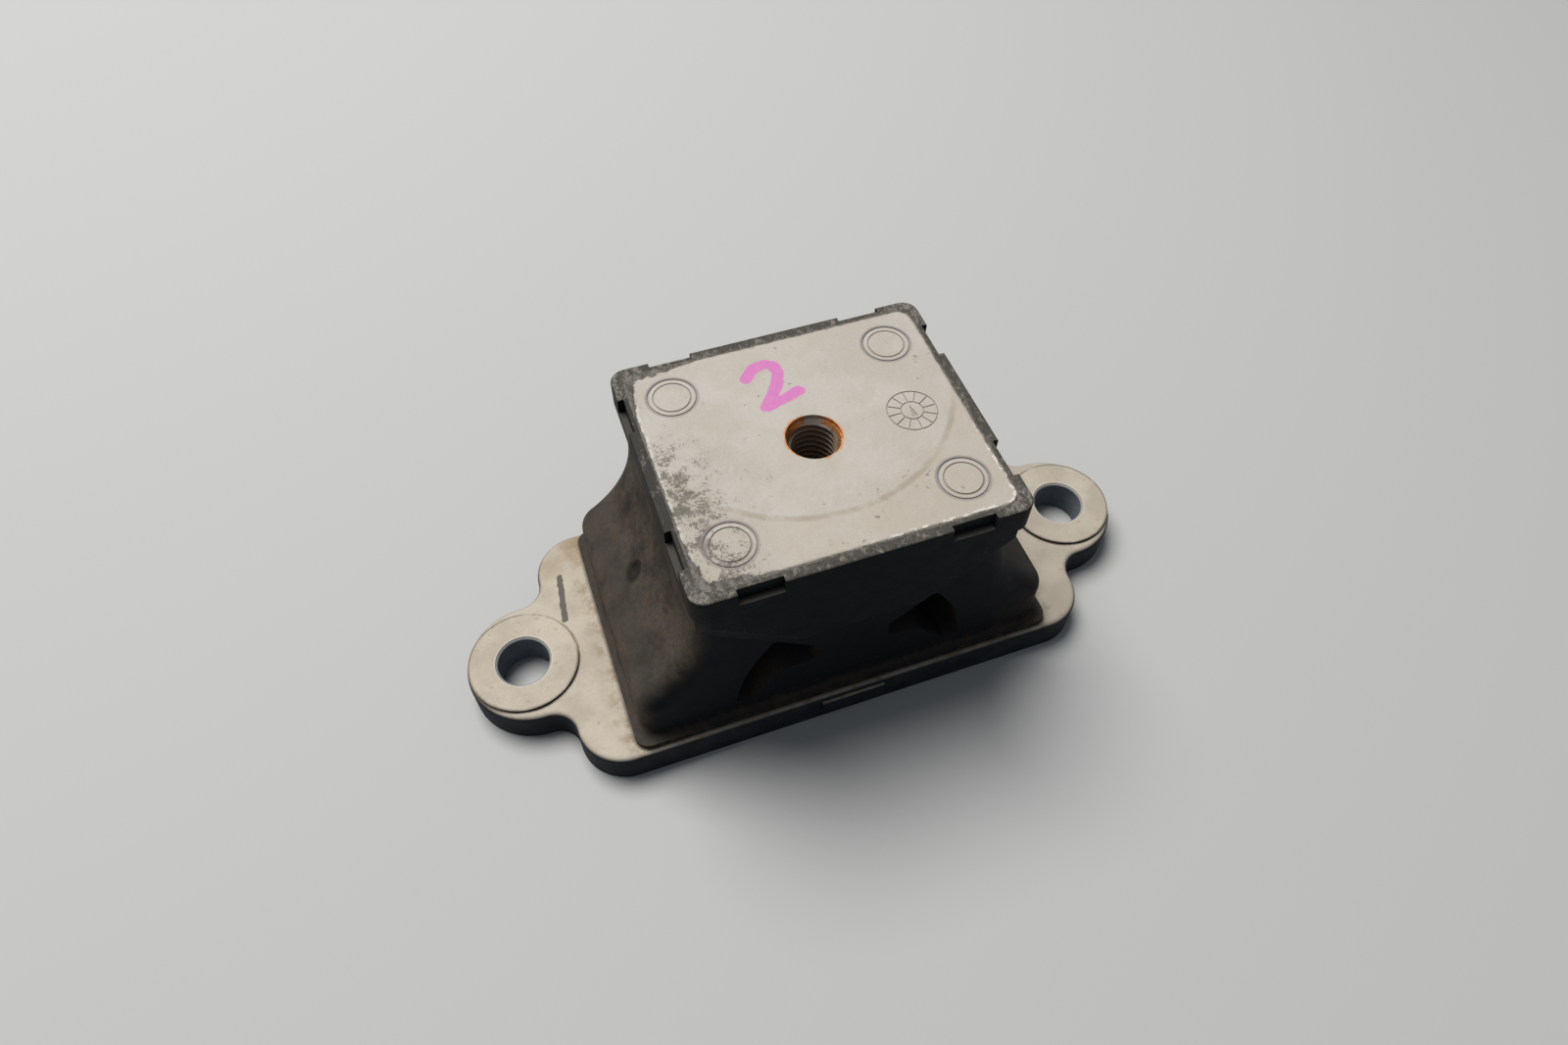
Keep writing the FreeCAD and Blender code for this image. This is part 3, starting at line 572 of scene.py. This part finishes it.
def bush_profile(wall_foot, wall_top):
    """Half of the bush's section, from the bore's blind end up the wall and down the outside."""
    rim, groove_floor = 7.5 * MM, 6.5 * MM
    groove_pitch, groove_width = 6 * MM, 1.5 * MM
    rows_a_turn = 12
    rows = int((wall_top - wall_foot) / THREAD_PITCH * rows_a_turn)

    profile = [(0.0, wall_foot)]
    profile += [(THREAD_CREST, wall_foot + (wall_top - wall_foot) * i / rows) for i in range(rows + 1)]
    profile += [(LEAD_IN, BUSH_FACE), (rim, BUSH_FACE)]
    middle = (BUSH_FACE + BUSH_FOOT) / 2
    for side in (1, -1):
        centre = middle + side * groove_pitch / 2
        high, low = centre + groove_width / 2, centre - groove_width / 2
        profile += [(rim, high), (groove_floor, high), (groove_floor, low), (rim, low)]
    return profile + [(rim, BUSH_FOOT), (0.0, BUSH_FOOT)]


def threaded_bush(material):
    """The bush with its real thread, M10 x 1.5: a turned profile whose bore follows the helix."""
    depth, steps = 18 * MM, 96
    wall_foot, wall_top = BUSH_FACE - depth, BUSH_FACE - (LEAD_IN - THREAD_CREST)
    bm = bmesh.new()
    points = [bm.verts.new((x, 0, z)) for x, z in bush_profile(wall_foot, wall_top)]
    line = [bm.edges.new(pair) for pair in zip(points, points[1:])]
    bmesh.ops.spin(bm, geom=points + line, cent=(0, 0, 0), axis=(0, 0, 1), angle=FULL_TURN,
                   steps=steps, use_merge=True)
    bmesh.ops.remove_doubles(bm, verts=bm.verts, dist=0.001 * MM)

    # Over each pitch the wall runs flat at the crest, down a flank, flat at the root and back up.
    # The thread starts from nothing over its first pitch.
    for vertex in bm.verts:
        x, y, z = vertex.co
        if abs(math.hypot(x, y) - THREAD_CREST) > 0.01 * MM or z < wall_foot + 0.1 * MM:
            continue
        turn = (z / THREAD_PITCH - math.atan2(y, x) / FULL_TURN) % 1.0
        groove = min(1.0, max(0.0, 1.25 - 2.7 * abs(turn - 0.5)))
        fade = min(1.0, (z - wall_foot) / THREAD_PITCH)
        radius = THREAD_CREST + (THREAD_ROOT - THREAD_CREST) * groove * fade
        vertex.co.x, vertex.co.y = x / THREAD_CREST * radius, y / THREAD_CREST * radius
    piece = new_piece(bm, "bush_with_thread", material)
    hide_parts("threaded_insert")


# ---------------------------------------------------------------- floor, light and camera

def floor_finish():
    """Pale to the eye and in reflections, but dark to bounced light, so little comes up from it."""
    material = bpy.data.materials.new("pale_floor")
    material.use_nodes = True
    nodes, links = material.node_tree.nodes, material.node_tree.links
    shader = nodes["Principled BSDF"]
    shader.inputs["Roughness"].default_value = 0.9
    shader.inputs["Specular IOR Level"].default_value = 0.1
    ray = nodes.new("ShaderNodeLightPath")
    seen = nodes.new("ShaderNodeMath")
    seen.operation = "MAXIMUM"
    links.new(ray.outputs["Is Camera Ray"], seen.inputs[0])
    links.new(ray.outputs["Is Glossy Ray"], seen.inputs[1])
    tone = nodes.new("ShaderNodeMix")
    tone.data_type = "RGBA"
    tone.inputs["A"].default_value = colour(0.07, 0.072, 0.075)
    tone.inputs["B"].default_value = colour(0.58, 0.59, 0.60)
    links.new(seen.outputs[0], tone.inputs["Factor"])
    links.new(tone.outputs["Result"], shader.inputs["Base Color"])
    return material


def pale_floor():
    """A plain level floor, a hair below the plate so that the two faces don't coincide."""
    half_width, gap = 3.0, 0.05 * MM
    bm = bmesh.new()
    bmesh.ops.create_grid(bm, x_segments=1, y_segments=1, size=half_width)
    bmesh.ops.translate(bm, verts=bm.verts, vec=(0, 0, -gap))
    mesh = bpy.data.meshes.new("floor")
    bm.to_mesh(mesh)
    bm.free()
    mesh.materials.append(floor_finish())
    floor = bpy.data.objects.new("floor", mesh)
    bpy.context.collection.objects.link(floor)


def light():
    """One soft lamp high at the back on the left, and an even sky."""
    lamp = bpy.data.objects.new("soft_lamp", bpy.data.lights.new("soft_lamp", "AREA"))
    lamp.data.shape = "DISK"
    lamp.data.size = 0.9
    lamp.data.energy = 19.0
    lamp.data.color = (1.0, 0.97, 0.92)
    lamp.location = (-0.25, 0.50, 1.25)
    aim = Vector((0, 0, 0.03)) - lamp.location
    lamp.rotation_euler = aim.to_track_quat("-Z", "Y").to_euler()
    bpy.context.collection.objects.link(lamp)

    world = bpy.data.worlds.new("even_sky")
    world.use_nodes = True
    sky = world.node_tree.nodes["Background"]
    sky.inputs["Color"].default_value = colour(0.85, 0.92, 1.0)
    sky.inputs["Strength"].default_value = 0.14
    bpy.context.scene.world = world


def camera():
    """Looks down on the front of the mount from its left."""
    place = Vector((-0.04978, -0.11622, 0.20586))
    right, up = Vector((0.9412, -0.3377, 0.0137)), Vector((0.2670, 0.7678, 0.5824))
    back = right.cross(up).normalized()
    up = back.cross(right).normalized()
    view = bpy.data.objects.new("camera", bpy.data.cameras.new("camera"))
    view.data.sensor_width = 36.0
    view.data.lens = 23.86
    view.data.clip_start = 0.01
    turn = Matrix((right.normalized(), up, back)).transposed()
    view.matrix_world = Matrix.Translation(place) @ turn.to_4x4()
    bpy.context.collection.objects.link(view)
    bpy.context.scene.camera = view


# ---------------------------------------------------------------- the mount dressed

for node, material in (("top_core", cast_block_finish()), ("base_plate", cast_plate_finish()),
                       ("rubber_body", rubber_finish())):
    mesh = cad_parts[node].data
    mesh.materials.clear()
    mesh.materials.append(material)

threaded_bush(bush_finish())
pale_floor()
light()
camera()
bpy.context.scene.view_settings.view_transform = "Standard"
